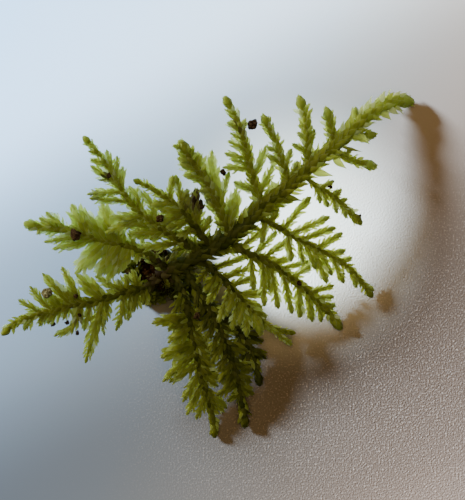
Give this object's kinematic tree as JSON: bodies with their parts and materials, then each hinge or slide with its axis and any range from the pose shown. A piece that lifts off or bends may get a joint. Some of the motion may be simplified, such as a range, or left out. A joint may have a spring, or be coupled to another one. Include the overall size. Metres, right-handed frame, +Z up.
{
  "type": "feather moss sprig",
  "caption": "Sprig of feather moss: an arched leafy shoot with twice-branched fronds on both sides and a tuft of dead brown growth at its foot, lying on its frond tips.",
  "frame": {"origin": "on the surface that the sprig lies on, under the middle of its box", "axes": "+X to the right of the picture, towards the growing tip of the main shoot, +Y up the picture, +Z up from the surface"},
  "size_m": [0.0412, 0.0344, 0.0121],
  "materials": {
    "stem_green": "leafy olive-green shoot, soft sheen on thin overlapping leaves",
    "leaf_green": "thin yellow-green leaves that let light through, pale margins, moist sheen",
    "dead_brown": "dull dark brown matted dead leaves and rhizoids, with soil",
    "soil": "dark crumbly soil, matt"
  },
  "bodies": {
    "root": {"main_shoot": "stem_green", "brown_tuft": "dead_brown", "upper_frond_1": "leaf_green", "upper_frond_2": "leaf_green", "upper_frond_3": "leaf_green", "upper_frond_4": "leaf_green", "upper_frond_5": "leaf_green", "middle_frond": "leaf_green", "left_frond_1": "leaf_green", "left_frond_2": "leaf_green", "left_frond_3": "leaf_green", "right_frond_1": "leaf_green", "right_frond_2": "leaf_green", "right_frond_3": "leaf_green", "lower_frond_1": "leaf_green", "lower_frond_2": "leaf_green", "lower_frond_3": "leaf_green", "lower_frond_4": "leaf_green", "lower_frond_5": "leaf_green", "lower_frond_6": "leaf_green", "soil_grain_01": "soil", "soil_grain_02": "soil", "soil_grain_03": "soil", "soil_grain_04": "soil", "soil_grain_05": "soil", "soil_grain_06": "soil", "soil_grain_07": "soil", "soil_grain_08": "soil", "soil_grain_09": "soil", "soil_grain_10": "soil", "soil_grain_11": "soil", "soil_grain_12": "soil", "soil_grain_13": "soil", "soil_grain_14": "soil", "soil_grain_15": "soil", "soil_grain_16": "soil", "soil_grain_17": "soil", "soil_grain_18": "soil"}
  },
  "joints": []
}
